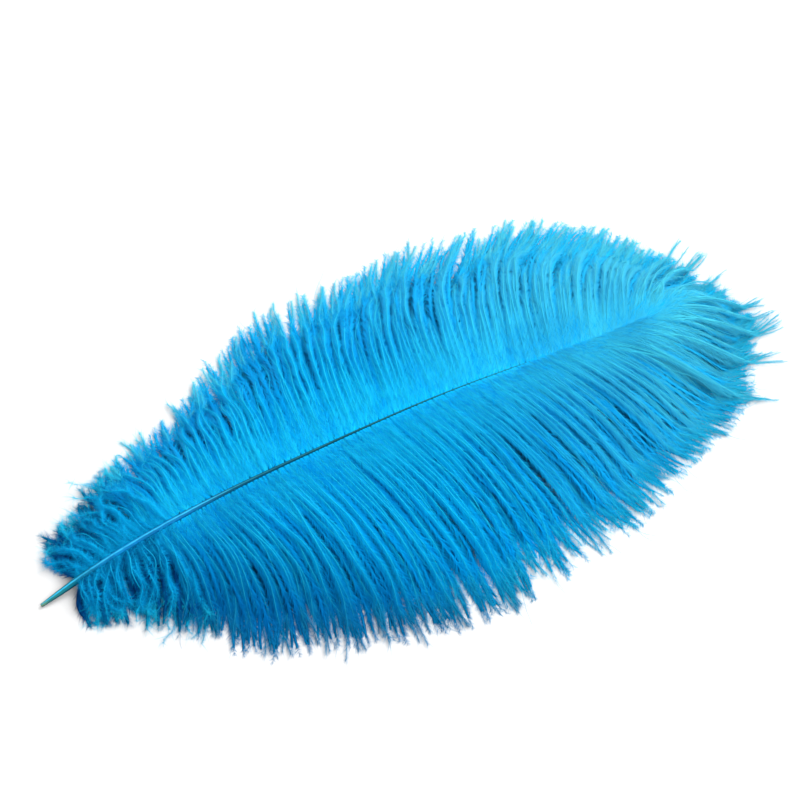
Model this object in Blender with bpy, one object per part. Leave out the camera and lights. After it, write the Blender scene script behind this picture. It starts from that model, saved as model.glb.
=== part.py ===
"""A dyed ostrich plume lying on a table.

One shaft, round and bare at the quill and fine as a thread at its tip, carries two soft vanes of loose
barbs and two tufts of down. The shaft bows up off the table, the vanes rise a little beside it and then
droop, and the tips of the barbs lie flat on the table all round.

The feather points along +X, its left side is +Y, and the table is z = 0. Sizes are in millimetres and
angles in degrees until a point is placed; Blender's units are metres.
"""

import math

import bmesh
import bpy
import numpy as np

MM = 0.001

# ---- Shaft ---------------------------------------------------------------------------------------------
# Centreline: distance from the quill's end, sideways bow, height above the table.
SHAFT_LINE = (
    (0, -1.5, 1.0),
    (36, 3, 7.0),
    (85, 5, 14.0),
    (140, 4, 19.5),
    (200, 2.5, 22.5),
    (260, -0.5, 21.5),
    (300, -1.5, 19.0),
    (325, 0.5, 16.5),
)
# Radius: distance from the quill's end, radius.
SHAFT_RADIUS = (
    (0, 0.8),
    (8, 1.3),
    (40, 1.6),
    (72, 1.45),
    (96, 1.15),
    (128, 0.85),
    (165, 0.6),
    (205, 0.42),
    (250, 0.32),
    (325, 0.25),
)
SHAFT_POINTS = 54
SHAFT_END = SHAFT_LINE[-1][0]
SHAFT_HIGHEST = max(z for _, _, z in SHAFT_LINE)

# ---- Barbs ---------------------------------------------------------------------------------------------
# Each row is the barbs that leave the shaft at one place: distance from the quill's end, angle between
# barb and feather as it leaves, how far it then sweeps round towards the tip, and its length in plan.
LEFT_BARBS = (
    (20, 132, 22, 17),
    (55, 124, 30, 42),
    (80, 110, 34, 55),
    (105, 104, 40, 74),
    (130, 98, 44, 90),
    (160, 90, 42, 95),
    (190, 86, 38, 101),
    (220, 82, 34, 100),
    (250, 78, 32, 94),
    (275, 73, 30, 81),
    (295, 62, 28, 66),
    (311, 41, 22, 50),
    (325, 8, 6, 36),
)
RIGHT_BARBS = (
    (20, 122, 22, 22),
    (55, 104, 22, 42),
    (80, 97, 18, 71),
    (105, 88, 14, 87),
    (130, 85, 12, 102),
    (160, 83, 12, 106),
    (190, 81, 14, 97),
    (220, 76, 18, 86),
    (250, 74, 22, 78),
    (275, 66, 26, 68),
    (295, 52, 26, 62),
    (311, 33, 20, 55),
    (325, 8, 6, 38),
)
DOWN_FROM = 20
VANES_FROM = 62
# The gap kept between pieces that touch.
CLEARANCE = 0.35
# The barbs come level with the table at this share of their length and lie along it from there.
LIE_FROM = 0.8
# How fast the barbs come down: 1 is a straight slope, and more holds them up near the shaft.
DROOP = 1.7
# How far the vane swells above that slope where the shaft is at its highest.
SWELL = 6.0
# Thickness of the sheet of barbs, at the shaft and where it lies on the table.
THICK_AT_SHAFT = 3.0
THICK_LYING = 1.6
# The top of the sheet stands this far above the shaft's centreline.
ROOT_ABOVE = 0.9
# The tips gather in tufts, which scallop the rim: how deep, and how far apart along the shaft.
TUFT_DEPTH = 2.2
TUFT_PITCH = 17.0
TUFT_PHASE = {1: 0.4, -1: 2.1}
# Faces that meet at more than this angle keep a crisp edge.
CRISP_ANGLE = 50
VANE_STATIONS = 56
DOWN_STATIONS = 12
BARB_ROWS = 10

# ---- Colours: linear red, green, blue ------------------------------------------------------------------
BARB_BLUE = (0.004, 0.27, 0.72, 1.0)
DOWN_BLUE = (0.006, 0.25, 0.62, 1.0)
QUILL_TEAL = (0.01, 0.16, 0.27, 1.0)
# Roughness: the quill is glossy, the barbs silky and the down dull.
QUILL_ROUGHNESS = 0.35
BARB_ROUGHNESS = 0.7
DOWN_ROUGHNESS = 0.8


def smooth(table, column, place):
    """One column of a table at a place between its rows, on a smooth curve through them."""
    rows = np.array(table, float)
    places, values = rows[:, 0], rows[:, column]
    slopes = np.gradient(values, places)
    i = int(np.clip(np.searchsorted(places, place) - 1, 0, len(places) - 2))
    gap = places[i + 1] - places[i]
    t = (place - places[i]) / gap
    return float(
        values[i] * (1 + 2 * t) * (1 - t) ** 2
        + slopes[i] * gap * t * (1 - t) ** 2
        + values[i + 1] * t * t * (3 - 2 * t)
        + slopes[i + 1] * gap * t * t * (t - 1)
    )


def shaft_centre(place):
    """The middle of the shaft at a distance from the quill's end."""
    return place, smooth(SHAFT_LINE, 1, place), smooth(SHAFT_LINE, 2, place)


def shaft_radius(place):
    return smooth(SHAFT_RADIUS, 1, place)


def barb_top(side, place, share):
    """A point on top of the sheet of barbs, on the barb that leaves the shaft at a place.

    It is at a share of that barb's length. In plan a barb is an arc, so its points come from its two angles
    and its length.
    """
    table = LEFT_BARBS if side > 0 else RIGHT_BARBS
    leave = math.radians(smooth(table, 1, place))
    sweep = math.radians(smooth(table, 2, place))
    tuft = TUFT_DEPTH * math.sin(2 * math.pi * place / TUFT_PITCH + TUFT_PHASE[side])
    radius = (smooth(table, 3, place) + tuft) / sweep
    now = leave - sweep * share
    x, y, z = shaft_centre(place)
    x += radius * (math.sin(leave) - math.sin(now))
    y += side * (shaft_radius(place) + CLEARANCE)
    y += side * radius * (math.cos(now) - math.cos(leave))
    down = min(share / LIE_FROM, 1.0)
    root = z + ROOT_ABOVE
    swell = SWELL * math.sin(math.pi * down) * z / SHAFT_HIGHEST
    return x, y, root + (THICK_LYING - root) * down**DROOP + swell


def sheet_thickness(share):
    down = min(share / LIE_FROM, 1.0)
    return THICK_AT_SHAFT + (THICK_LYING - THICK_AT_SHAFT) * down


def finish_material(name, colour, roughness):
    """A plain surface of one colour and roughness."""
    material = bpy.data.materials.new(name)
    material.use_nodes = True
    shader = material.node_tree.nodes["Principled BSDF"]
    shader.inputs["Base Color"].default_value = colour
    shader.inputs["Roughness"].default_value = roughness
    shader.inputs["Metallic"].default_value = 0.0
    material.diffuse_color = colour
    return material


def build_shaft(material):
    """Quill and rachis in one tapering rod, swept along its bowed centreline."""
    curve = bpy.data.curves.new("shaft", "CURVE")
    curve.dimensions = "3D"
    curve.bevel_depth = MM
    curve.bevel_resolution = 3
    curve.use_fill_caps = True
    spline = curve.splines.new("POLY")
    places = np.linspace(0, SHAFT_END, SHAFT_POINTS)
    spline.points.add(len(places) - 1)
    for point, place in zip(spline.points, places):
        x, y, z = shaft_centre(place)
        point.co = (x * MM, y * MM, z * MM, 1.0)
        point.radius = shaft_radius(place)
    curve.materials.append(material)
    shaft = bpy.data.objects.new("shaft", curve)
    bpy.context.scene.collection.objects.link(shaft)
    return shaft


def build_sheet(name, side, first, last, stations, material):
    """A soft sheet of barbs on one side of the shaft, from one place on it to another.

    A grid is laid over the barbs, one column for each station along the shaft and one row for each step
    along the barb. Its faces are extruded, and the new ones lowered by the sheet's thickness.
    """
    shape = bmesh.new()
    bmesh.ops.create_grid(shape, x_segments=stations, y_segments=BARB_ROWS, size=0.5)
    shares = {}
    for vertex in shape.verts:
        place = first + (vertex.co.x + 0.5) * (last - first)
        shares[vertex] = vertex.co.y + 0.5
        vertex.co = [c * MM for c in barb_top(side, place, shares[vertex])]
    under = {tuple(v.co): sheet_thickness(share) * MM for v, share in shares.items()}
    grown = bmesh.ops.extrude_face_region(shape, geom=list(shape.faces))
    for item in grown["geom"]:
        if isinstance(item, bmesh.types.BMVert):
            item.co.z -= under[tuple(item.co)]
    bmesh.ops.recalc_face_normals(shape, faces=list(shape.faces))
    mesh = bpy.data.meshes.new(name)
    shape.to_mesh(mesh)
    shape.free()
    mesh.materials.append(material)
    mesh.shade_smooth()
    mesh.set_sharp_from_angle(angle=math.radians(CRISP_ANGLE))
    sheet = bpy.data.objects.new(name, mesh)
    bpy.context.scene.collection.objects.link(sheet)
    return sheet


def centre_on_origin(pieces):
    """Moves the whole feather so that the middle of its outline, on the table, is the origin."""
    bpy.context.view_layer.update()
    corners = np.array([corner[:] for piece in pieces for corner in piece.bound_box])
    middle = (corners.min(axis=0) + corners.max(axis=0)) / 2
    for piece in pieces:
        piece.location.x = -middle[0]
        piece.location.y = -middle[1]


def main():
    for old in list(bpy.data.objects):
        bpy.data.objects.remove(old)
    barb_finish = finish_material("barbs", BARB_BLUE, BARB_ROUGHNESS)
    down_finish = finish_material("down", DOWN_BLUE, DOWN_ROUGHNESS)
    pieces = [build_shaft(finish_material("quill", QUILL_TEAL, QUILL_ROUGHNESS))]
    down_to = VANES_FROM - CLEARANCE
    for side, word in ((1, "left"), (-1, "right")):
        pieces.append(build_sheet(word + "_down", side, DOWN_FROM, down_to, DOWN_STATIONS, down_finish))
        pieces.append(build_sheet(word + "_vane", side, VANES_FROM, SHAFT_END, VANE_STATIONS, barb_finish))
    centre_on_origin(pieces)


main()
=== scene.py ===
"""The looks of a dyed ostrich plume that lies on a white table.

The shaft is one bowed rod. Every barb is a fine three-sided stalk with barbules along it, and a barbule is
one tapered triangle. Under the top of each vane lie flatter, wider barbs that keep light from passing. Barbs
are laid by the same rules as the four soft solids that they replace, then gathered into tufts, swayed,
hooked and ruffled. Lengths are in millimetres until a point is placed.
"""

import math

import bmesh
import bpy
import numpy as np
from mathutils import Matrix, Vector


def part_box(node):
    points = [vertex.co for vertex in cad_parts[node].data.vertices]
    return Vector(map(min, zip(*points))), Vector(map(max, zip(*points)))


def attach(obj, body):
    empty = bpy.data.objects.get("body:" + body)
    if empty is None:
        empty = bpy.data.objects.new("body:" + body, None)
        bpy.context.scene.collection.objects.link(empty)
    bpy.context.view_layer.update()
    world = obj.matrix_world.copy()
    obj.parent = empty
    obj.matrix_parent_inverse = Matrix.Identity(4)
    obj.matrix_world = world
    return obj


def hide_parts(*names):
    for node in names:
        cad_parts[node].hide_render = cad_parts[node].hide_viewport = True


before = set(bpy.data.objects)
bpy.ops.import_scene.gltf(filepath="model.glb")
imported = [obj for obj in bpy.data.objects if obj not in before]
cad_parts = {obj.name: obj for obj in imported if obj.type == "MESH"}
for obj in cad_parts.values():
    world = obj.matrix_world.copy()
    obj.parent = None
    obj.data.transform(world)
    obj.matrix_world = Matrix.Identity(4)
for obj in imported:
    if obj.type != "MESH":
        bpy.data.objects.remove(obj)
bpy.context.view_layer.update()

MM = 0.001
BODY = "root"
LEFT, RIGHT = 1, -1

# ---- The shaft's line and the barbs' lie, as the solids have them --------------------------------------
# Centreline: distance from the quill's end, sideways bow, height above the table.
SHAFT_LINE = (
    (0, -1.5, 1.0),
    (36, 3, 7.0),
    (85, 5, 14.0),
    (140, 4, 19.5),
    (200, 2.5, 22.5),
    (260, -0.5, 21.5),
    (300, -1.5, 19.0),
    (325, 0.5, 16.5),
)
# Radius: distance from the quill's end, radius.
SHAFT_RADIUS = (
    (0, 0.8),
    (8, 1.3),
    (40, 1.6),
    (72, 1.45),
    (96, 1.15),
    (128, 0.85),
    (165, 0.6),
    (205, 0.42),
    (250, 0.32),
    (325, 0.25),
)
SHAFT_END = SHAFT_LINE[-1][0]
SHAFT_HIGHEST = max(z for _, _, z in SHAFT_LINE)
# Barbs that leave the shaft at one place: distance from the quill's end, angle between barb and feather as
# it leaves, how far it then sweeps round towards the tip, and its length in plan.
BARBS = {
    LEFT: (
        (20, 132, 22, 17),
        (55, 124, 30, 42),
        (80, 110, 34, 55),
        (105, 104, 40, 74),
        (130, 98, 44, 90),
        (160, 90, 42, 95),
        (190, 86, 38, 101),
        (220, 82, 34, 100),
        (250, 78, 32, 94),
        (275, 73, 30, 81),
        (295, 62, 28, 66),
        (311, 41, 22, 50),
        (325, 8, 6, 36),
    ),
    RIGHT: (
        (20, 122, 22, 22),
        (55, 104, 22, 42),
        (80, 97, 18, 71),
        (105, 88, 14, 87),
        (130, 85, 12, 102),
        (160, 83, 12, 106),
        (190, 81, 14, 97),
        (220, 76, 18, 86),
        (250, 74, 22, 78),
        (275, 66, 26, 68),
        (295, 52, 26, 62),
        (311, 33, 20, 55),
        (325, 8, 6, 38),
    ),
}
DOWN_FROM = 20
VANES_FROM = 62
# The barbs come level with the table at this share of their length.
LIE_FROM = 0.8
# How fast they come down: 1 is a straight slope, and more holds them up near the shaft.
DROOP = 1.7
# How far the vane swells above that slope where the shaft is at its highest.
SWELL = 6.0
# The height at which the barbs lie along the table.
LYING = 1.6
# The barbs' roots stand this far above the shaft's centreline, and this share of its radius from it.
ROOT_ABOVE = 0.1
ROOT_ASIDE = 0.45
# Between these places the shaft goes from bare on top to covered, by barbs that start this far past its
# middle and stand this much higher.
COVERED_FROM, COVERED_TO = 236.0, 268.0
COVER = 1.3
COVER_ABOVE = 0.5
# How much lower a layer at full depth stands at the shaft, and what share of its height it loses when lying.
DEEPER_AT_ROOT = 0.35
DEEPER_LYING = 0.6
# Nothing comes nearer to the table than this.
LOWEST = 0.12


def curve_through(table, column):
    """A smooth curve through one column of a table, as a function of the distance from the quill's end."""
    rows = np.array(table, float)
    places, values = rows[:, 0], rows[:, column]
    slopes = np.gradient(values, places)

    def at(place):
        place = np.asarray(place, float)
        i = np.clip(np.searchsorted(places, place) - 1, 0, len(places) - 2)
        gap = places[i + 1] - places[i]
        t = (place - places[i]) / gap
        near = values[i] * (1 + 2 * t) * (1 - t) ** 2 + slopes[i] * gap * t * (1 - t) ** 2
        far = values[i + 1] * t * t * (3 - 2 * t) + slopes[i + 1] * gap * t * t * (t - 1)
        return near + far

    return at


shaft_bow = curve_through(SHAFT_LINE, 1)
shaft_height = curve_through(SHAFT_LINE, 2)
shaft_radius = curve_through(SHAFT_RADIUS, 1)
barb_leaves = {side: curve_through(table, 1) for side, table in BARBS.items()}
barb_sweeps = {side: curve_through(table, 2) for side, table in BARBS.items()}
barb_length = {side: curve_through(table, 3) for side, table in BARBS.items()}


def find_quill_end():
    """Where the quill's end is, in millimetres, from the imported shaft's own box."""
    places = np.linspace(0, SHAFT_END, 200)
    low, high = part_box("shaft")
    bow, radius = shaft_bow(places), shaft_radius(places)
    middle = (np.min(bow - radius) + np.max(bow + radius)) / 2
    return np.array([high.x / MM - SHAFT_END, (low.y + high.y) / 2 / MM - middle, 0.0])


QUILL_END = find_quill_end()


# How neighbouring barbs bend alike: distance from the quill's end, then, in millimetres towards the
# feather's tip, the lean of their whole run, the bow of their middles and the hook of their last third, and
# how much longer they are than the solid.
BENDS = {
    LEFT: (
        (20, 5, 0, 3, 5),
        (62, 1, 4, 4, 1),
        (90, 2, 5, 5, -2),
        (115, -1, 5, 0, -5),
        (135, -3, 3, -5, -2),
        (160, 0, -2, -6, 1),
        (185, 2, -4, -4, 3),
        (202, -1, -6, -1, 4),
        (222, 2, -3, 2, 5),
        (245, 3, -1.5, 5, 5),
        (275, 3, 0, 6, 5),
        (300, 1, 0, 2, -2),
        (325, 0, 0, 0, -5),
    ),
    RIGHT: (
        (20, 0, 0, 0, 0),
        (62, -2, 8, 0, 0),
        (90, 1, 10, -3, 0),
        (120, -1, 7, -8, -7),
        (150, 2, 4, -12, -7),
        (185, 3, 4, -12, -2),
        (215, 1, 2, -9, 6),
        (250, 2, 2, -3, 2),
        (285, 3, 2, 3, 6),
        (299, 2, 0, 7, -1),
        (307, 1, 0, 7, -3),
        (315, 0, 0, 2, -4),
        (325, 0, 0, 0, -4),
    ),
}
LEAN, BOW, HOOK, LONGER = (
    {side: curve_through(table, column) for side, table in BENDS.items()} for column in (1, 2, 3, 4)
)


# Along the middle of the shaft the barbs leave it this many degrees nearer to the feather's own line, and
# sweep less, so that their tips stay where the solid has them.
STRAIGHTER = {LEFT: 8.0, RIGHT: 0.0}
UPWARDS = np.array([0, 0, 1.0])


def unit(v):
    """The same directions, each one unit long."""
    return v / np.maximum(np.linalg.norm(v, axis=-1, keepdims=True), 1e-9)


def blend_in(low, high, x):
    """0 below low, 1 above high, and a smooth step between."""
    t = np.clip((x - low) / (high - low), 0, 1)
    return t * t * (3 - 2 * t)


def ripple(seed, place, pitch):
    """Smooth noise along the shaft, about -1 to 1, with a new value at every pitch. All pieces share it."""
    knots = np.random.default_rng(seed).normal(0, 1, int(SHAFT_END / pitch) + 3)
    i = (place / pitch).astype(int)
    t = place / pitch - i
    t = t * t * (3 - 2 * t)
    return knots[i] * (1 - t) + knots[i + 1] * t


# ---- Barbs ---------------------------------------------------------------------------------------------
STALK_POINTS = 22
# From this place on the barbs crowd together, and at the tip there are this share more than elsewhere.
CROWD_FROM = 240
CROWDING = 0.9
# How much each barb may stand off from even spacing, as a share of the spacing.
UNEVEN_SPACING = 0.36
# How far apart along the shaft the lean and the bow of the barbs change.
LEAN_PITCH, BOW_PITCH = 14, 10
# How much of the sway is shared by neighbours, by a tuft, by one barb, by a barb gone astray, and by hooks.
SHARED_SWAY, TUFT_SWAY, OWN_SWAY, ASTRAY_SWAY, HOOK_SWAY = 0.3, 0.3, 0.18, 1.2, 0.45
# A barb is at most this much of its layer's reach.
LONGEST = 1.06
# A barb of this length winds about once from side to side.
WINDING_LENGTH = 45
# Next to the down the barbs are softer: fully so between the middle two of these places.
SOFT_PLACES = (62, 72, 85, 150)
# A barb's middle line, and a web's, come no nearer to the table than these.
LOWEST_BARB, LOWEST_WEB = 0.4, 0.3
# Barbules lie alike for this length of a barb, and stay between these angles above the level.
WISP_LENGTH = 3.0
RAISED_FROM, RAISED_TO = -30, 95
# How far a barbule hangs from its straight way, as a share of its length, and how far out its end counts as,
# which puts its end in the painted groove shade.
BARBULE_SAG = 0.1
BARBULE_END = 0.9
# The hairs at the barbs' tips: how many steps they are drawn in, and how fast they turn down.
HAIR_STEPS = 4
HAIR_FALL = -0.03


class Barbs:
    """The stalks of the barbs on one side of the shaft, from one place on it to another, in one layer."""

    def __init__(self, rng, side, first, last, spacing, tuft, droop=DROOP, swell=SWELL, depth=0.0,
                 reach=1.0, pull=0.6, slack=0.8, free=0.8, sway=4.0, ruffle=0.7, stray=0.2, uneven=0.05,
                 curl=1.1, winding=1.0, loosen=1.0):
        # The barbs crowd towards the feather's tip, where they fan out most.
        steps = np.linspace(first, last, 200)
        crowd = np.cumsum(1 + CROWDING * blend_in(CROWD_FROM, SHAFT_END, steps))
        crowd = (crowd - crowd[0]) / (len(steps) - 1) * (last - first)
        count = int(crowd[-1] / spacing)
        jitter = rng.uniform(-UNEVEN_SPACING, UNEVEN_SPACING, count)
        self.place = np.interp((np.arange(count) + 0.5 + jitter) * crowd[-1] / count, crowd, steps)
        self.side, self.count = side, count
        self.share = np.linspace(0, 1, STALK_POINTS)
        s = self.share[None, :]
        self.gather(rng, tuft, slack)
        # Between the down and the middle of the feather the barbs are softer, so they wind and lean more.
        a, b, c, d = SOFT_PLACES
        soft = loosen * blend_in(a, b, self.place) * (1 - blend_in(c, d, self.place))
        self.astray = rng.random(count) < stray * (1 + soft)

        # Tufts: each barb leans over to its tuft's middle on its way out, and frees itself again at its tip.
        freed = 1 - free * blend_in(0.66, 0.95, s)
        pulled = (self.middle - self.place)[:, None] * blend_in(0.1, 0.45, s) * freed
        pulled = pulled * (pull * self.tightness[self.tuft])[:, None]
        # Sway: neighbours bend alike, and strays cross the rest.
        lean = LEAN[side](self.place) + ripple(side + 5, self.place, LEAN_PITCH) * sway * SHARED_SWAY
        tuft_lean = rng.normal(0, TUFT_SWAY * sway, self.tufts)[self.tuft] * (1 + 1.6 * soft)
        own_lean = rng.normal(0, OWN_SWAY * sway, count)
        own_lean = own_lean + self.astray * rng.normal(0, ASTRAY_SWAY * sway, count)
        hook = HOOK[side](self.place) * rng.uniform(0.65, 1.15, count)
        hook = hook + rng.normal(0, HOOK_SWAY * sway, count) * (1 + soft)
        bow = BOW[side](self.place) + ripple(side + 9, self.place, BOW_PITCH) * SHARED_SWAY * sway
        leaning = (lean + tuft_lean + own_lean)[:, None] * s**1.6
        drift = leaning + hook[:, None] * blend_in(0.55, 1.12, s) ** 1.6
        drift = drift + bow[:, None] * np.sin(s * math.pi * 1.15) * s**0.7
        place = np.clip(self.place[:, None] + pulled, DOWN_FROM, SHAFT_END)

        tuft_reach = rng.normal(0, uneven, self.tufts)[self.tuft]
        length = reach * (1 + tuft_reach + rng.normal(0, uneven * 1.3, count))
        length = np.clip(length, 0.5, LONGEST * reach)
        length = length + LONGER[side](self.place) / barb_length[side](self.place)
        self.length = barb_length[side](self.place) * length

        points = self.lay(place, s, length[:, None], droop, swell, depth)
        along = self.forward(points)
        across = np.stack([-along[..., 1], along[..., 0], 0 * along[..., 0]], -1) * side
        # Curl: each barb winds a little from side to side, and more towards its tip.
        turns = winding * rng.uniform(0.8, 1.6, count) * np.maximum(self.length, 30) / WINDING_LENGTH
        curl = curl * (1 + 1.3 * soft)[:, None]
        wave = np.sin(2 * math.pi * (turns[:, None] * s + rng.random((count, 1)))) * curl
        wave = wave * s * (0.3 + 0.7 * s)
        points = points - across * (drift + wave * rng.uniform(0.4, 1.6, (count, 1)))[..., None]
        # Ruffle: tufts and barbs lie higher or lower than the sheet.
        rise = rng.normal(0, ruffle, self.tufts)[self.tuft] + rng.normal(0, 0.45 * ruffle, count)
        rise = rise * (1 + 0.6 * soft)
        rise = rise + self.astray * (0.4 + ruffle * 0.8)
        arch = np.sin(math.pi * np.clip(s, 0, 1) ** 0.8) * 0.8 + 0.2 * s
        heave = np.sin(2 * math.pi * (turns[:, None] * s * 0.8 + rng.random((count, 1)))) * curl
        heave = heave * 0.5 * s
        points[..., 2] += rise[:, None] * arch + heave
        points[..., 2] = np.maximum(points[..., 2], LOWEST_BARB)
        self.points = points
        self.heading = self.forward(points)
        # How deep the dye took, from 0 to 1: much alike in a tuft.
        luck = rng.normal(0, 1, self.tufts)[self.tuft] + rng.normal(0, 0.7, count)
        self.chance = np.clip(0.5 + 0.2 * luck, 0, 1)

    def gather(self, rng, size, slack):
        """Sorts the barbs into tufts of neighbours, some large and some small."""
        self.tuft = np.zeros(self.count, int)
        at = number = 0
        while at < self.count:
            take = max(1, int(round(rng.normal(size, size * 0.5))))
            self.tuft[at : at + take] = number
            at, number = at + take, number + 1
        self.tufts = number
        sums = np.bincount(self.tuft, self.place, number) / np.bincount(self.tuft, minlength=number)
        self.middle = sums[self.tuft]
        self.tightness = rng.uniform(1.1 - slack, 1.1, number)

    def lay(self, place, share, length, droop, swell, depth):
        """Points along the barbs, measured from the quill's end: an arc in plan, drooping to the table."""
        straighter = STRAIGHTER[self.side] * blend_in(60, 115, place) * (1 - blend_in(220, 285, place))
        leave = np.radians(barb_leaves[self.side](place) - straighter)
        sweep = np.radians(barb_sweeps[self.side](place) - 2 * straighter)
        radius = barb_length[self.side](place) * length / sweep
        now = leave - sweep * share
        x = place + radius * (np.sin(leave) - np.sin(now))
        # Where the shaft is thin, the barbs' roots reach over it and hide it.
        over = blend_in(COVERED_FROM, COVERED_TO, place)
        start = shaft_radius(place) * ROOT_ASIDE - COVER * over
        y = shaft_bow(place) + self.side * (start + radius * (np.cos(now) - np.cos(leave)))
        down = np.minimum(share / LIE_FROM, 1.0)
        root = shaft_height(place) + ROOT_ABOVE + COVER_ABOVE * over - DEEPER_AT_ROOT * depth
        lying = LYING * (1 - DEEPER_LYING * depth)
        slope = root + (lying - root) * down**droop
        z = slope + swell * np.sin(math.pi * down) * root / SHAFT_HIGHEST
        return np.stack([x, y, z], -1)

    @staticmethod
    def forward(points):
        """The barbs' own directions at their points."""
        return unit(np.gradient(points, axis=1))

    def at(self, barb, share):
        """Points on the barbs and the barbs' directions there."""
        f = share * (STALK_POINTS - 1)
        i = np.clip(f.astype(int), 0, STALK_POINTS - 2)
        t = (f - i)[:, None]
        a, b = self.points[barb, i], self.points[barb, i + 1]
        u = self.heading[barb, i] * (1 - t) + self.heading[barb, i + 1] * t
        return a * (1 - t) + b * t, unit(u)


class Strands:
    """Collects stalks, webs, barbules and tip hairs, and makes one mesh of them."""

    def __init__(self):
        self.points, self.normals, self.faces, self.marks = [], [], [], []
        self.filled = 0

    def add(self, points, normals, faces, marks):
        self.points.append(points)
        self.normals.append(normals)
        self.faces.append(faces + self.filled)
        self.marks.append(marks)
        self.filled += len(points)

    def add_stalks(self, barbs, root_radius, tip_radius, strip, tall=1.0, shade=(0.0, 0.05), until=1.0,
                   lower=0.0, root=0.5):
        """A three-sided tapering rod along each barb, closed at both ends, or a flat web when it isn't tall.

        It goes on until a share of the barb's length, lies lower than the barb by a distance, and at its root
        has a share of its full thickness. The shades are how far out on a barb its crest and its two lower
        edges count as, which sets how much painted crest highlight and painted groove shade they take.
        """
        steps = 2 + int((STALK_POINTS - 2) * until)
        along = barbs.share[:steps]
        p = barbs.points[:, :steps].copy()
        p[..., 2] = np.maximum(p[..., 2] - lower * blend_in(-0.03, 0.16, along), LOWEST_WEB)
        count = len(p)
        t = barbs.heading[:, :steps]
        side = unit(np.cross(UPWARDS, t))
        up = np.cross(t, side)
        thick = root_radius + (tip_radius - root_radius) * (along / along[-1]) ** 3
        thick = thick * (root + (1 - root) * blend_in(0, 0.3, along))
        turn = np.radians([90, 210, 330])
        wide, high = np.cos(turn)[:, None], np.sin(turn)[:, None] * tall
        out = side[:, :, None, :] * wide + up[:, :, None, :] * high
        ring = p[:, :, None, :] + out * thick[None, :, None, None]
        round_normals = side[:, :, None, :] * wide + up[:, :, None, :] * np.sin(turn)[:, None]
        points, normals = ring.reshape(-1, 3), round_normals.reshape(-1, 3)
        first = np.arange(count)[:, None, None] * steps * 3 + np.arange(steps - 1)[None, :, None] * 3
        j = np.arange(3)
        a, b = first + j, first + (j + 1) % 3
        quads = np.stack([a, b, b + 3, a + 3], -1).reshape(-1, 4)
        faces = np.concatenate([quads[:, [0, 1, 2]], quads[:, [0, 2, 3]]])
        start = np.arange(count)[:, None] * steps * 3
        caps = np.concatenate([start + [0, 2, 1], start + (steps - 1) * 3 + [0, 1, 2]])
        share = np.broadcast_to(along[None, :, None], (count, steps, 3)).reshape(-1)
        chance = np.repeat(barbs.chance, steps * 3)
        row = np.repeat(np.arange(count) + strip, steps * 3)
        over = np.broadcast_to(np.array([shade[0], -shade[1], shade[1]]), (count, steps, 3)).reshape(-1)
        marks = np.stack([share, over, chance, row], -1)
        self.add(points, normals, np.concatenate([faces, caps]), marks)

    def add_barbules(self, rng, barbs, per_mm, long, width, strip, spread, lift=(4, 26), thin_out=0.3,
                     hang=0.45, rim=0.25):
        """The barbules along each of a set of barbs, on both sides and above: tapering slivers, in wisps.

        They leave the barb at about the spread and rise by about the lift, both in degrees. Towards its end
        a share of them thins out, and over its outer half they are longer by the rim's share. Their roots lie
        below its middle by the hang.
        """
        number = np.maximum((barbs.length * per_mm).astype(int), 2)
        barb = np.repeat(np.arange(barbs.count), number)
        place = np.concatenate([np.arange(n) + 0.5 for n in number])
        share = np.clip((place + rng.uniform(-0.5, 0.5, len(place))) / number[barb], 0, 1) ** 1.08
        kept = rng.random(len(share)) > thin_out * blend_in(0.72, 1.0, share)
        barb, share = barb[kept], share[kept]
        count = len(barb)
        point, along = barbs.at(barb, share)
        level = unit(np.cross(UPWARDS, along))
        above = np.cross(along, level)

        # Neighbouring barbules lie alike, in wisps.
        wisp = (share * barbs.length[barb] / WISP_LENGTH + barb * 41).astype(int)
        feel = rng.normal(0, 1, (wisp.max() + 1, 3))[wisp]
        hand = np.where(rng.random(count) < 0.5, 1.0, -1.0)
        raised = np.radians(rng.normal(lift[0], lift[1], count) + feel[:, 0] * 10)
        raised = np.clip(raised, math.radians(RAISED_FROM), math.radians(RAISED_TO))
        out = level * (hand * np.cos(raised))[:, None] + above * np.sin(raised)[:, None]
        to_tip = blend_in(0.7, 1.0, share)
        turn = np.radians(spread * (1 + rng.normal(0, 0.3, count) + feel[:, 1] * 0.2))
        turn = turn * (1 + 0.5 * to_tip)
        way = along * np.cos(turn)[:, None] + out * np.sin(turn)[:, None]
        way[:, 2] -= BARBULE_SAG
        way = unit(way)
        grown = long * (1 - 0.25 * blend_in(0.1, 0.3, share) + rim * blend_in(0.5, 0.75, share))
        grown = grown * (1 - 0.65 * blend_in(0.78, 1.0, share))
        grown = grown * rng.uniform(0.6, 1.3, count)
        facing = unit(above * 0.75 + out * 0.6)
        point = point - above * (hang * blend_in(-0.1, 0.2, share))[:, None]
        tip = point + way * grown[:, None]
        half = width * 0.5 * rng.uniform(0.75, 1.25, count) * (1 - 0.4 * blend_in(0.6, 1.0, share))
        wide = unit(np.cross(way, facing)) * half[:, None]
        points = np.stack([point + wide, point - wide, tip], 1).reshape(-1, 3)
        points[:, 2] = np.maximum(points[:, 2], LOWEST)
        faces = np.arange(count * 3).reshape(-1, 3)
        across = (hand[:, None] * np.array([0.3, 0.3, BARBULE_END])).reshape(-1)
        shift = 0.35 / np.maximum(number[barb], 1)
        shift = (shift[:, None] * np.array([1, -1, 0.0])).reshape(-1)
        shares = np.clip(np.repeat(share, 3) + shift, 0, 1)
        chance = np.clip(barbs.chance[barb] + 0.15 * feel[:, 2], 0, 1)
        marks = np.stack([shares, across, np.repeat(chance, 3), np.repeat(barb + strip, 3)], -1)
        self.add(points, np.repeat(facing, 3, 0), faces, marks)

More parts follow.
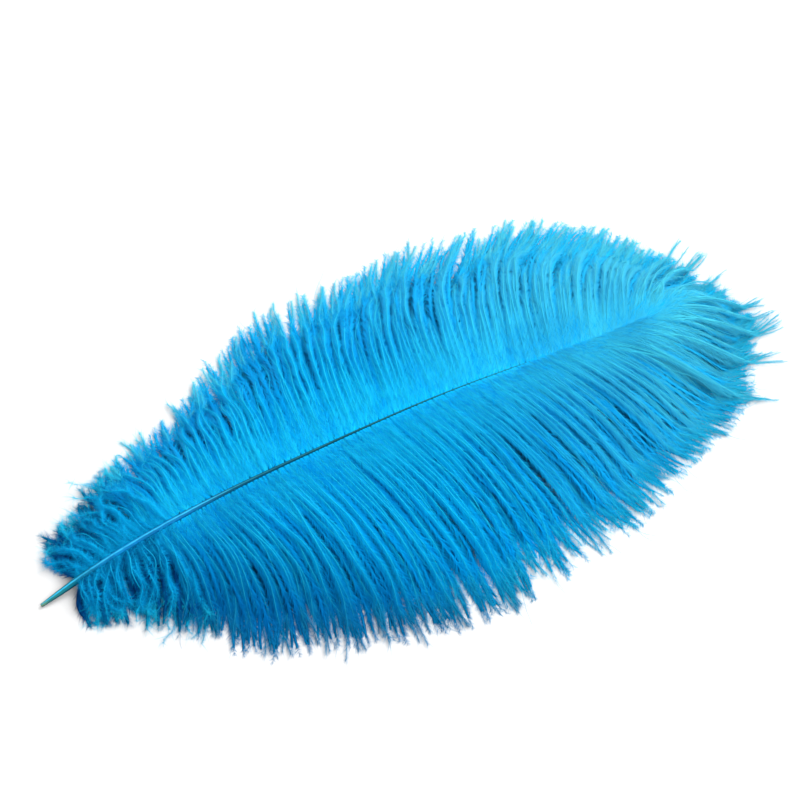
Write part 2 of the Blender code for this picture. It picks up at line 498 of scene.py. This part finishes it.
    def add_tip_hairs(self, rng, barbs, per_barb, long, width, strip, first, spread):
        """Long hairs that fan from the last part of each barb, and bend: narrow ribbons to a point."""
        count = barbs.count * per_barb
        barb = np.repeat(np.arange(barbs.count), per_barb)
        share = rng.uniform(first, 1.0, count)
        point, way = barbs.at(barb, share)
        level = unit(np.cross(UPWARDS, way))
        way = unit(way + level * np.tan(np.radians(rng.normal(0, spread, count)))[:, None])
        way[:, 2] += rng.normal(0.02, 0.12, count)
        bend = rng.normal(0, 0.16, count)[:, None]
        step = (long * rng.uniform(0.5, 1.3, count) / HAIR_STEPS)[:, None]
        half = (width * 0.5 * rng.uniform(0.7, 1.3, count))[:, None]
        ups = unit(np.cross(way, unit(np.cross(UPWARDS, way))))
        rows = []
        for number in range(HAIR_STEPS):
            side = unit(np.cross(UPWARDS, way))
            narrow = half * (1 - number / HAIR_STEPS)
            rows.append(np.stack([point + side * narrow, point - side * narrow], 1))
            way = unit(way + side * bend + np.array([0, 0, HAIR_FALL]))
            point = point + way * step
        points = np.concatenate([*rows, point[:, None]], 1)
        each = points.shape[1]
        points[..., 2] = np.maximum(points[..., 2], LOWEST)
        strips = [[2 * i, 2 * i + 1, 2 * i + 3] for i in range(HAIR_STEPS - 1)]
        strips += [[2 * i, 2 * i + 3, 2 * i + 2] for i in range(HAIR_STEPS - 1)]
        strips += [[each - 3, each - 2, each - 1]]
        start = np.arange(count)[:, None] * each
        faces = np.concatenate([start + face for face in strips])
        shares = np.repeat(np.clip(share, 0.9, 1), each)
        chance = np.repeat(barbs.chance[barb], each)
        marks = np.stack([shares, 0 * shares + 0.05, chance, np.repeat(barb + strip, each)], -1)
        self.add(points.reshape(-1, 3), np.repeat(ups, each, 0), faces, marks)

    def make(self, name, strips):
        """One mesh object of everything collected, with its marks as attributes and as a map of strips.

        A barb's strip of the map runs along it, and holds all that grows on that barb.
        """
        points = (np.concatenate(self.points) + QUILL_END) * MM
        normals, faces = np.concatenate(self.normals), np.concatenate(self.faces)
        marks = np.concatenate(self.marks)
        corner = points[faces]
        flat = np.cross(corner[:, 1] - corner[:, 0], corner[:, 2] - corner[:, 0])
        turned = np.einsum("ij,ij->i", flat, normals[faces].mean(1)) < 0
        faces[turned] = faces[turned][:, ::-1]
        mesh = bpy.data.meshes.new(name)
        mesh.vertices.add(len(points))
        mesh.vertices.foreach_set("co", points.astype(np.float32).ravel())
        mesh.loops.add(faces.size)
        mesh.loops.foreach_set("vertex_index", faces.astype(np.int32).ravel())
        mesh.polygons.add(len(faces))
        mesh.polygons.foreach_set("loop_start", np.arange(0, faces.size, 3, dtype=np.int32))
        mesh.update(calc_edges=True)
        mesh.validate()
        for word, column in (("along", 0), ("across", 1), ("chance", 2)):
            values = np.abs(marks[:, column]) if word == "across" else marks[:, column]
            mark = mesh.attributes.new(word, "FLOAT", "POINT")
            mark.data.foreach_set("value", values.astype(np.float32))
        layer = mesh.uv_layers.new(name="OFBake")
        v = (marks[:, 3] + 0.5 + 0.42 * marks[:, 1]) / strips
        uv = np.stack([0.01 + 0.98 * marks[:, 0], v], -1)[faces.ravel()]
        layer.data.foreach_set("uv", uv.astype(np.float32).ravel())
        mesh.shade_smooth()
        mesh.normals_split_custom_set_from_vertices(unit(normals))
        piece = bpy.data.objects.new(name, mesh)
        bpy.context.scene.collection.objects.link(piece)
        return piece


# ---- Materials -----------------------------------------------------------------------------------------
# Towards the tip the colour grows paler, from thinner dye and as painted light from the right-hand back,
# between these sums of X and a share of Y, in millimetres.
THIN_FROM, THIN_TO = -10.0, 165.0
END_SLANT = 0.3
# Painted shade darkens the colour towards the right-hand side of the quill, between these.
FOOT_SHADE_FROM, FOOT_SHADE_TO = -95.0, -180.0
FOOT_SLANT = 1.5
# Painted shade multiplies the colour there by the first; the second is for the patches where the dye lies
# deeper.
FOOT_PAINTED_SHADE = (0.6, 0.47, 0.62, 1.0)
PATCH_SHADE = (0.5, 0.72, 0.86, 1.0)
# Painted light makes the left rim palest from this distance along Y.
LIT_RIM = 58.0
# The share of light that a strand lets through.
LET_THROUGH = 0.3
# The table's grey, the same in red, green and blue.
TABLE_GREY = 0.57


def add_node(tree, kind, links=None, values=None, **settings):
    """A node with its settings, its plain values and its incoming links."""
    node = tree.nodes.new(kind)
    for key, value in settings.items():
        setattr(node, key, value)
    for key, value in (values or {}).items():
        node.inputs[key].default_value = value
    for key, socket in (links or {}).items():
        tree.links.new(socket, node.inputs[key])
    return node


def mix_colours(tree, share, a, b, blend="MIX"):
    """Colour a going over to colour b, or multiplied by it; each is a socket or a plain colour."""
    node = tree.nodes.new("ShaderNodeMix")
    node.data_type = "RGBA"
    node.blend_type = blend
    for number, value in ((0, share), (6, a), (7, b)):
        if isinstance(value, bpy.types.NodeSocket):
            tree.links.new(value, node.inputs[number])
        else:
            node.inputs[number].default_value = value
    return node.outputs[2]


def range_of(tree, socket, low, high, to_low=0.0, to_high=1.0):
    """A value carried smoothly from one range to another."""
    node = add_node(tree, "ShaderNodeMapRange", {"Value": socket}, interpolation_type="SMOOTHSTEP")
    node.inputs["From Min"].default_value = low
    node.inputs["From Max"].default_value = high
    node.inputs["To Min"].default_value = to_low
    node.inputs["To Max"].default_value = to_high
    return node.outputs["Result"]


def make_dye_group():
    """How a strand is coloured: a painted highlight along its crest and near the shaft, painted groove shade
    deep within, and faded dye at its tip."""
    group = bpy.data.node_groups.new("dyed strands", "ShaderNodeTree")
    sockets = group.interface
    for name in ("Crest highlight", "Body", "Deep dye and groove shade", "Tips", "Thin end and light"):
        sockets.new_socket(name, in_out="INPUT", socket_type="NodeSocketColor")
    for name in ("Streaks", "Near shaft", "Foot shade"):
        sockets.new_socket(name, in_out="INPUT", socket_type="NodeSocketFloat")
    sockets.new_socket("Colour", in_out="OUTPUT", socket_type="NodeSocketColor")
    sockets.new_socket("Roughness", in_out="OUTPUT", socket_type="NodeSocketFloat")
    given = group.nodes.new("NodeGroupInput").outputs
    along = add_node(group, "ShaderNodeAttribute", attribute_name="along").outputs["Fac"]
    across = add_node(group, "ShaderNodeAttribute", attribute_name="across").outputs["Fac"]
    chance = add_node(group, "ShaderNodeAttribute", attribute_name="chance").outputs["Fac"]

    def times(a, b, operation="MULTIPLY"):
        return add_node(group, "ShaderNodeMath", {0: a, 1: b}, operation=operation).outputs[0]

    # Painted highlight on the crest, going over to painted groove shade out at the barbules' ends, and
    # less so near the shaft.
    outward = range_of(group, across, 0.1, 0.95)
    near = times(range_of(group, along, 0.04, 0.42, 1.0, 0.0), given["Near shaft"])
    away = add_node(group, "ShaderNodeMath", {1: near}, {0: 1.0}, operation="SUBTRACT").outputs[0]
    body = mix_colours(group, times(range_of(group, across, 0.0, 0.5), away), given["Crest highlight"], given["Body"])
    body = mix_colours(group, times(times(outward, outward), away), body, given["Deep dye and groove shade"])
    # Streaks run along a strand and differ from one strand to the next.
    where = add_node(group, "ShaderNodeCombineXYZ", {"X": along, "Y": chance, "Z": across}).outputs[0]
    scaled = add_node(group, "ShaderNodeVectorMath", {0: where}, {1: (9.0, 60.0, 1.5)}, operation="MULTIPLY")
    detail = {"Scale": 1.0, "Detail": 2.0}
    noise = add_node(group, "ShaderNodeTexNoise", {"Vector": scaled.outputs[0]}, detail)
    streak = times(range_of(group, noise.outputs["Fac"], 0.45, 0.72), given["Streaks"])
    body = mix_colours(group, streak, body, given["Deep dye and groove shade"])
    body = mix_colours(group, range_of(group, chance, 0.45, 1.0, 0.0, 0.4), body, given["Body"])
    # The feather's thin end took less dye and is made paler by painted light from the right-hand back; by
    # its foot, painted shade darkens it.
    place = add_node(group, "ShaderNodeTexCoord").outputs["Object"]
    spot = add_node(group, "ShaderNodeSeparateXYZ", {0: place})
    aside = add_node(group, "ShaderNodeMath", {0: spot.outputs["Y"]}, {1: FOOT_SLANT}, operation="MULTIPLY")
    foot = times(spot.outputs["X"], aside.outputs[0], "ADD")
    aside = add_node(group, "ShaderNodeMath", {0: spot.outputs["Y"]}, {1: END_SLANT}, operation="MULTIPLY")
    end = times(spot.outputs["X"], aside.outputs[0], "ADD")
    thin_and_lit = range_of(group, end, THIN_FROM * MM, THIN_TO * MM, 0.0, 0.8)
    thin_and_lit = times(thin_and_lit, range_of(group, across, 0.2, 1.0, 1.0, 0.55))
    body = mix_colours(group, thin_and_lit, body, given["Thin end and light"])
    # Barbs' ends fade to the Tips colour. Painted light turns them to the paler thin-end colour towards the
    # left rim, while the right rim keeps the darker Tips colour as painted shade.
    faded = range_of(group, along, 0.76, 1.0, 0.0, 0.85)
    lit_rim = range_of(group, spot.outputs["Y"], 0.0, LIT_RIM * MM)
    tips = mix_colours(group, lit_rim, given["Tips"], given["Thin end and light"])
    colour = mix_colours(group, faded, body, tips)
    # The dye lies deeper in some patches than in others.
    patches = add_node(group, "ShaderNodeTexNoise", {"Vector": place}, {"Scale": 28.0, "Detail": 1.0})
    patch = range_of(group, patches.outputs["Fac"], 0.52, 0.72, 0.0, 0.45)
    colour = mix_colours(group, patch, colour, PATCH_SHADE, "MULTIPLY")
    # Painted shade darkens the colour towards the right-hand side by the quill.
    foot_shade_share = times(range_of(group, foot, FOOT_SHADE_FROM * MM, FOOT_SHADE_TO * MM), given["Foot shade"])
    colour = mix_colours(group, foot_shade_share, colour, FOOT_PAINTED_SHADE, "MULTIPLY")
    out = group.nodes.new("NodeGroupOutput")
    group.links.new(colour, out.inputs["Colour"])
    group.links.new(range_of(group, noise.outputs["Fac"], 0.3, 0.7, 0.48, 0.68), out.inputs["Roughness"])
    return group


def new_material(name):
    """A material with its tree cleared down to the output."""
    material = bpy.data.materials.new(name)
    material.use_nodes = True
    tree = material.node_tree
    tree.nodes.clear()
    return material, tree, tree.nodes.new("ShaderNodeOutputMaterial")


def make_strand_material(name, dye, crest_highlight, body, deep_dye_and_groove_shade, tips, thin_end_and_light, streaks, near_shaft, foot=1.0):
    """Dyed strands, soft and silky, that let some light through."""
    material, tree, out = new_material(name)
    group = add_node(tree, "ShaderNodeGroup", node_tree=dye)
    colours = {"Crest highlight": crest_highlight, "Body": body, "Deep dye and groove shade": deep_dye_and_groove_shade, "Tips": tips, "Thin end and light": thin_end_and_light}
    for key, colour in colours.items():
        group.inputs[key].default_value = (*colour, 1.0)
    group.inputs["Streaks"].default_value = streaks
    group.inputs["Near shaft"].default_value = near_shaft
    group.inputs["Foot shade"].default_value = foot
    shader = add_node(
        tree,
        "ShaderNodeBsdfPrincipled",
        {"Base Color": group.outputs["Colour"], "Roughness": group.outputs["Roughness"]},
        {"Specular IOR Level": 0.08, "Sheen Weight": 0.04, "Sheen Roughness": 0.4},
    )
    shader.inputs["Sheen Tint"].default_value = (0.02, 0.6, 1.0, 1.0)
    shader.inputs["Specular Tint"].default_value = (0.05, 0.7, 1.0, 1.0)
    through = add_node(tree, "ShaderNodeBsdfTranslucent", {"Color": group.outputs["Colour"]})
    both = {1: shader.outputs[0], 2: through.outputs[0]}
    mix = add_node(tree, "ShaderNodeMixShader", both, {0: LET_THROUGH})
    tree.links.new(mix.outputs[0], out.inputs["Surface"])
    return material


def make_quill_material():
    """Dyed keratin: pale at the cut end, blue along the quill, dark teal as it thins, and blue again where
    barbs cover it. A painted highlight runs as a lighter stripe along the top, and the lower flanks carry
    painted shade near the quill and are blue towards the tip."""
    material, tree, out = new_material("dyed quill")
    place = add_node(tree, "ShaderNodeTexCoord").outputs["Object"]
    x = add_node(tree, "ShaderNodeSeparateXYZ", {0: place}).outputs["X"]
    run = tree.nodes.new("ShaderNodeMapRange")
    run.inputs["From Min"].default_value = QUILL_END[0] * MM
    run.inputs["From Max"].default_value = (QUILL_END[0] + SHAFT_END) * MM
    tree.links.new(x, run.inputs["Value"])
    ramp = tree.nodes.new("ShaderNodeValToRGB")
    tree.links.new(run.outputs["Result"], ramp.inputs["Fac"])
    stops = (
        (0.0, (0.14, 0.26, 0.14)),
        (0.012, (0.02, 0.16, 0.15)),
        (0.05, (0.001, 0.13, 0.19)),
        (0.12, (0.0008, 0.17, 0.44)),
        (0.22, (0.0008, 0.13, 0.34)),
        (0.29, (0.0006, 0.06, 0.12)),
        (0.45, (0.0006, 0.03, 0.05)),
        (0.60, (0.001, 0.05, 0.06)),
        (0.72, (0.002, 0.16, 0.24)),
        (0.85, (0.004, 0.30, 0.60)),
        (1.0, (0.006, 0.36, 0.66)),
    )
    elements = ramp.color_ramp.elements
    elements[0].position, elements[0].color = stops[0][0], (*stops[0][1], 1)
    elements[1].position, elements[1].color = stops[-1][0], (*stops[-1][1], 1)
    for position, colour in stops[1:-1]:
        elements.new(position).color = (*colour, 1)
    fine = {1: (60.0, 1800.0, 1800.0)}
    grain = add_node(tree, "ShaderNodeVectorMath", {0: place}, fine, operation="MULTIPLY")
    detail = {"Scale": 1.0, "Detail": 3.0}
    noise = add_node(tree, "ShaderNodeTexNoise", {"Vector": grain.outputs[0]}, detail)
    streak = range_of(tree, noise.outputs["Fac"], 0.35, 0.75, 0.0, 0.45)
    colour = mix_colours(tree, streak, ramp.outputs["Color"], (0.004, 0.06, 0.09, 1.0))
    upward = add_node(tree, "ShaderNodeAttribute", attribute_name="upward").outputs["Fac"]
    thinner = range_of(tree, run.outputs["Result"], 0.24, 0.34)
    highlight_stripe = mix_colours(tree, thinner, (0.03, 0.37, 0.61, 1.0), (0.02, 0.15, 0.19, 1.0))
    # Painted highlight: a lighter stripe where the shaft faces most upward.
    top = range_of(tree, upward, 0.90, 0.985)
    highlight_share = add_node(tree, "ShaderNodeMath", {0: top, 1: streak}, operation="SUBTRACT", use_clamp=True)
    colour = mix_colours(tree, highlight_share.outputs[0], colour, highlight_stripe)
    # Painted shade: the lower flanks darken near the quill, and are blue towards the tip.
    towards_tip = range_of(tree, run.outputs["Result"], 0.2, 0.42)
    flank = mix_colours(tree, towards_tip, (0.0006, 0.02, 0.06, 1.0), (0.001, 0.24, 0.52, 1.0))
    colour = mix_colours(tree, range_of(tree, upward, -0.1, 0.6, 0.85, 0.0), colour, flank)
    depth = {"Strength": 0.25, "Distance": 0.0002}
    bump = add_node(tree, "ShaderNodeBump", {"Height": noise.outputs["Fac"]}, depth)
    shader = add_node(
        tree,
        "ShaderNodeBsdfPrincipled",
        {
            "Base Color": colour,
            "Roughness": range_of(tree, noise.outputs["Fac"], 0.3, 0.7, 0.22, 0.38),
            "Normal": bump.outputs["Normal"],
            "Specular IOR Level": range_of(tree, run.outputs["Result"], 0.22, 0.36, 0.14, 0.03),
        },
    )
    shader.inputs["Specular Tint"].default_value = (0.35, 0.9, 1.0, 1.0)
    tree.links.new(shader.outputs[0], out.inputs["Surface"])
    return material


def make_table_material():
    """A dull white surface that reflects nothing."""
    material, tree, out = new_material("white table")
    shader = add_node(tree, "ShaderNodeBsdfPrincipled", {}, {"Roughness": 0.9, "Specular IOR Level": 0.0})
    shader.inputs["Base Color"].default_value = (TABLE_GREY, TABLE_GREY, TABLE_GREY, 1.0)
    tree.links.new(shader.outputs[0], out.inputs["Surface"])
    return material


# ---- Pieces --------------------------------------------------------------------------------------------
SHAFT_SIDES, SHAFT_RINGS = 14, 150
# What barbs that broke off have left on the shaft: place, and angle round the shaft from its left side.
STUBS = ((97.0, 150.0), (71.0, 20.0), (118.0, 25.0))
STUB_LONG, STUB_WIDE = 1.3, 0.36


def make_shaft(material):
    """Quill and rachis: a round rod with closed ends, narrowed at the quill's, and stubs of broken barbs."""
    shape = bmesh.new()
    upward = shape.verts.layers.float.new("upward")
    places = SHAFT_END * np.linspace(0, 1, SHAFT_RINGS) ** 1.1
    made = bmesh.ops.create_circle(shape, cap_ends=False, segments=SHAFT_SIDES, radius=1.0)
    ring = made["verts"]
    edges = list(dict.fromkeys(edge for vertex in ring for edge in vertex.link_edges))
    quill_edges = edges
    angles = [math.atan2(v.co.y, v.co.x) for v in ring]
    set_ring(ring, angles, places[0], upward)
    for place in places[1:]:
        grown = bmesh.ops.extrude_edge_only(shape, edges=edges)
        moved = [g for g in grown["geom"] if isinstance(g, bmesh.types.BMVert)]
        edges = [g for g in grown["geom"] if isinstance(g, bmesh.types.BMEdge)]
        set_ring(moved, angles, place, upward)
    bmesh.ops.edgeloop_fill(shape, edges=quill_edges)
    bmesh.ops.edgeloop_fill(shape, edges=edges)
    for place, turn in STUBS:
        add_stub(shape, place, turn)
    bmesh.ops.recalc_face_normals(shape, faces=list(shape.faces))
    mesh = bpy.data.meshes.new("quill_and_rachis")
    shape.to_mesh(mesh)
    shape.free()
    mesh.materials.append(material)
    mesh.shade_smooth()
    piece = bpy.data.objects.new("quill_and_rachis", mesh)
    bpy.context.scene.collection.objects.link(piece)
    return piece


def shaft_frame(place):
    """The middle of the shaft at a place, its radius, and its directions along, sideways and up."""
    step = 0.5
    low, high = max(place - step, 0), min(place + step, SHAFT_END)
    rise = shaft_height(high) - shaft_height(low)
    along = Vector((high - low, shaft_bow(high) - shaft_bow(low), rise)).normalized()
    side = Vector((0, 0, 1)).cross(along).normalized()
    here = Vector((place, float(shaft_bow(place)), float(shaft_height(place)))) + Vector(QUILL_END)
    return here, float(shaft_radius(place)), along, side, along.cross(side)


def set_ring(ring, angles, place, upward):
    """Lays one ring of the shaft square to its line, and marks how far up each of its points faces."""
    here, radius, _, side, up = shaft_frame(place)
    for vertex, angle in zip(ring, angles):
        out = side * math.cos(angle) + up * math.sin(angle)
        vertex.co = (here + out * radius) * MM
        vertex[upward] = math.sin(angle)


def add_stub(shape, place, turn):
    """A short stump that leans towards the tip."""
    here, radius, along, side, up = shaft_frame(place)
    angle = math.radians(turn)
    out = side * math.cos(angle) + up * math.sin(angle)
    way = (out + along * 0.8).normalized()
    turned = way.to_track_quat("Z", "Y").to_matrix().to_4x4()
    turned.translation = (here + out * radius * 0.8 + way * STUB_LONG / 2) * MM
    bmesh.ops.create_cone(
        shape,
        cap_ends=True,
        segments=6,
        radius1=STUB_WIDE * MM,
        radius2=STUB_WIDE * MM * 0.5,
        depth=STUB_LONG * MM,
        matrix=turned,
    )


def make_barbs(name, seed, side, layers, material, node):
    """One piece of barbs, from one or more layers. Each layer says how its barbs lie and what is on them."""
    rng = np.random.default_rng(seed)
    strands = Strands()
    strip = 0
    for layer in layers:
        barbs = Barbs(rng, side, **layer["lie"])
        for stalk in layer["stalks"]:
            strands.add_stalks(barbs, strip=strip, **stalk)
        for fuzz in layer.get("fuzz", ()):
            strands.add_barbules(rng, barbs, strip=strip, **fuzz)
        if "hairs" in layer:
            strands.add_tip_hairs(rng, barbs, strip=strip, **layer["hairs"])
        strip += barbs.count
    piece = strands.make(name, strip)
    piece.data.materials.append(material)
    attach(piece, BODY)
    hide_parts(node)
    return piece


dye = make_dye_group()
BARB_BLUE = make_strand_material(
    "dyed barbs",
    dye,
    crest_highlight=(0.016, 0.68, 0.90),
    body=(0.0015, 0.48, 0.82),
    deep_dye_and_groove_shade=(0.0005, 0.34, 0.72),
    tips=(0.012, 0.42, 0.62),
    thin_end_and_light=(0.09, 0.58, 0.70),
    streaks=0.35,
    near_shaft=0.6,
)
INNER_BLUE = make_strand_material(
    "dyed inner barbs",
    dye,
    crest_highlight=(0.001, 0.44, 0.84),
    body=(0.0006, 0.38, 0.78),
    deep_dye_and_groove_shade=(0.0004, 0.30, 0.70),
    tips=(0.008, 0.44, 0.68),
    thin_end_and_light=(0.02, 0.54, 0.82),
    streaks=0.4,
    near_shaft=0.5,
)
DOWN_BLUE = make_strand_material(
    "dyed down",
    dye,
    crest_highlight=(0.012, 0.64, 0.92),
    body=(0.002, 0.46, 0.82),
    deep_dye_and_groove_shade=(0.0006, 0.18, 0.48),
    tips=(0.01, 0.46, 0.64),
    thin_end_and_light=(0.03, 0.56, 0.72),
    streaks=0.6,
    near_shaft=0.2,
    foot=0.3,
)
# The down within is coloured far darker than the down above it: painted shade in its gaps and under the
# quill.
SHADED_DOWN_BLUE = make_strand_material(
    "down within in painted shade",
    dye,
    crest_highlight=(0.0008, 0.15, 0.42),
    body=(0.0006, 0.09, 0.32),
    deep_dye_and_groove_shade=(0.0004, 0.04, 0.18),
    tips=(0.003, 0.26, 0.42),
    thin_end_and_light=(0.003, 0.26, 0.42),
    streaks=0.5,
    near_shaft=0.2,
    foot=0.3,
)

STALK = dict(root_radius=0.26, tip_radius=0.07)
# Webs take colours from halfway out to the barbules' ends, in the painted groove shade.
WEB = dict(root_radius=1.9, tip_radius=0.5, tall=0.18, shade=(0.45, 0.9), until=0.95, lower=0.9, root=0.95)
TOP_FUZZ = dict(per_mm=19.4, long=4.7, width=0.165, spread=28, thin_out=0.1)
UNDER_FUZZ = dict(per_mm=3.6, long=6.5, width=0.4, spread=28, thin_out=0.0)
TIP_FUZZ = dict(per_mm=11.0, long=3.6, width=0.14, spread=20, rim=-0.2)
TIP_HAIRS = dict(per_barb=18, long=7.5, width=0.14, spread=16, first=0.72)
LOOSE = dict(root_radius=0.14, tip_radius=0.06)
# The right side is more orderly than the left.
TUFTING = {LEFT: dict(tuft=1.5), RIGHT: dict(tuft=1.9, sway=2.6, uneven=0.032)}
# The locks at the feather's tip come from this length of the shaft's end.
LOCKS_LONG = {LEFT: 24.0, RIGHT: 50.0}
# Where the pieces of a vane's top meet. The first begins within the down, so that no gap shows between them.
PIECE_ENDS = (VANES_FROM - 4, 120, 165, 210, 262, SHAFT_END)
FOOT = PIECE_ENDS[0]
# How far loose barbs reach, as a share of the solid's, and how far on the right past this place.
LOOSE_REACH, LOOSE_REACH_RIGHT = 1.02, 1.1
RIGHT_LOOSER_FROM = 150


def make_side(side, word):
    """All the barbs of one side: the top of the vane in pieces, the barbs under it, and the down."""
    vane, down = word + "_vane", word + "_down"
    seed = 10 + side
    for number, (first, last) in enumerate(zip(PIECE_ENDS, PIECE_ENDS[1:])):
        lie = dict(first=first, last=last, spacing=1.9, **TUFTING[side])
        top = [dict(lie=lie, stalks=[STALK], fuzz=[TOP_FUZZ], hairs=TIP_HAIRS)]
        if last == SHAFT_END:
            lie.update(tuft=2.0)
            locks = dict(first=last - LOCKS_LONG[side], last=last - 1, spacing=1.5, tuft=8)
            locks.update(pull=1.0, slack=0.2, free=0.0, stray=0.0)
            locks.update(reach=1.2, uneven=0.07, sway=3.0, ruffle=0.3)
            hairs = dict(TIP_HAIRS, long=5, spread=9)
            top.append(dict(lie=locks, stalks=[STALK], fuzz=[TIP_FUZZ], hairs=hairs))
        further = side == RIGHT and first > RIGHT_LOOSER_FROM
        reach = LOOSE_REACH_RIGHT if further else LOOSE_REACH
        flying = dict(first=first, last=last, spacing=7.0, tuft=1, reach=reach)
        flying.update(sway=6.0, curl=3.0, ruffle=1.4, loosen=0.0)
        loose = dict(lie=flying, stalks=[LOOSE])
        make_barbs(f"{word}_barbs_{number + 1}", seed + 100 * number, side, [*top, loose], BARB_BLUE, vane)
    all_along = dict(first=FOOT, last=SHAFT_END, tuft=2, stray=0.0, loosen=0.0)
    upper = dict(all_along, spacing=1.55, droop=1.6, swell=5.2, depth=0.2, sway=2.0, ruffle=0.4, reach=0.99)
    lower = dict(all_along, spacing=2.2, droop=0.9, swell=0.5, depth=0.9, sway=5.0, reach=0.99)
    make_barbs(
        f"{word}_inner_barbs",
        seed + 900,
        side,
        [
            dict(lie=upper, stalks=[WEB], fuzz=[UNDER_FUZZ]),
            dict(lie=lower, stalks=[WEB], fuzz=[UNDER_FUZZ]),
        ],
        INNER_BLUE,
        vane,
    )
    tufts = dict(first=DOWN_FROM, last=FOOT + 8, ruffle=1.8, stray=0.3)
    fluff = dict(per_mm=21.0, long=3.8, width=0.14, spread=64, lift=(8, 40), thin_out=0.0, hang=0.0)
    short_fluff = dict(fluff, per_mm=8.0, long=1.4, width=0.1)
    wild_hairs = dict(TIP_HAIRS, spread=35)
    thread = dict(root_radius=0.15, tip_radius=0.05)
    wild = dict(tufts, tuft=2, sway=9.0, curl=3.2, winding=2.0)
    gathered = dict(wild, spacing=2.5, pull=1.2)
    beneath = dict(wild, spacing=3.0, droop=1.3, reach=0.88)
    single = dict(tufts, spacing=4.0, tuft=1, sway=4.0, curl=3.5, winding=1.6, reach=0.82)
    single.update(ruffle=2.4, stray=0.0)
    make_barbs(
        f"{word}_down_strands",
        seed + 950,
        side,
        [
            dict(lie=gathered, stalks=[thread], fuzz=[fluff], hairs=wild_hairs),
            dict(lie=beneath, stalks=[thread], fuzz=[fluff], hairs=wild_hairs),
            dict(lie=single, stalks=[STALK], fuzz=[short_fluff]),
        ],
        DOWN_BLUE,
        down,
    )
    within = dict(tufts, spacing=1.6, tuft=2, sway=4.0, curl=1.5, droop=1.0, swell=2.0, ruffle=0.5)
    make_barbs(
        f"{word}_down_within",
        seed + 980,
        side,
        [dict(lie=within, stalks=[WEB], fuzz=[UNDER_FUZZ])],
        SHADED_DOWN_BLUE,
        down,
    )


make_side(LEFT, "left")
make_side(RIGHT, "right")

shaft = make_shaft(make_quill_material())
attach(shaft, BODY)
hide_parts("shaft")


# ---- Table, light and camera ---------------------------------------------------------------------------
TABLE_SIZE = 4.0


def make_table():
    """A wide white table top at z = 0, which belongs to the stage."""
    shape = bmesh.new()
    bmesh.ops.create_grid(shape, x_segments=1, y_segments=1, size=TABLE_SIZE)
    mesh = bpy.data.meshes.new("table_top")
    shape.to_mesh(mesh)
    shape.free()
    mesh.materials.append(make_table_material())
    table = bpy.data.objects.new("table_top", mesh)
    bpy.context.scene.collection.objects.link(table)


def add_soft_light(name, place, size, power):
    """A square light of a size in metres and a power in watts, turned to the feather's middle."""
    light = bpy.data.lights.new(name, "AREA")
    light.shape = "SQUARE"
    light.size = size
    light.energy = power
    lamp = bpy.data.objects.new(name, light)
    bpy.context.scene.collection.objects.link(lamp)
    lamp.location = place
    lamp.rotation_mode = "QUATERNION"
    lamp.rotation_quaternion = Vector(place).to_track_quat("Z", "Y")


def set_world(strength):
    """Even white light from all round."""
    world = bpy.data.worlds.new("pale room")
    world.use_nodes = True
    background = world.node_tree.nodes["Background"]
    background.inputs["Color"].default_value = (1.0, 1.0, 1.0, 1.0)
    background.inputs["Strength"].default_value = strength
    bpy.context.scene.world = world


def place_camera(azimuth, elevation, distance, lens, target):
    """The camera at two angles in degrees and a distance in metres from its target, with a lens in mm."""
    camera = bpy.data.cameras.new("camera")
    camera.lens = lens
    camera.clip_start, camera.clip_end = 0.01, 50.0
    seat = bpy.data.objects.new("camera", camera)
    bpy.context.scene.collection.objects.link(seat)
    a, e = math.radians(azimuth), math.radians(elevation)
    back = Vector((math.sin(a) * math.cos(e), -math.cos(a) * math.cos(e), math.sin(e)))
    seat.location = Vector(target) + back * distance
    seat.rotation_mode = "QUATERNION"
    seat.rotation_quaternion = back.to_track_quat("Z", "Y")
    bpy.context.scene.camera = seat


make_table()
set_world(1.0)
add_soft_light("key_light", (1.0, 0.45, 1.25), 0.9, 25.0)
add_soft_light("front_light", (0.35, -1.0, 1.3), 1.0, 18.0)
place_camera(azimuth=-28.33, elevation=53.26, distance=1.1138, lens=109.55, target=(0.0039, 0.0175, 0.0139))
bpy.context.scene.view_settings.view_transform = "Standard"
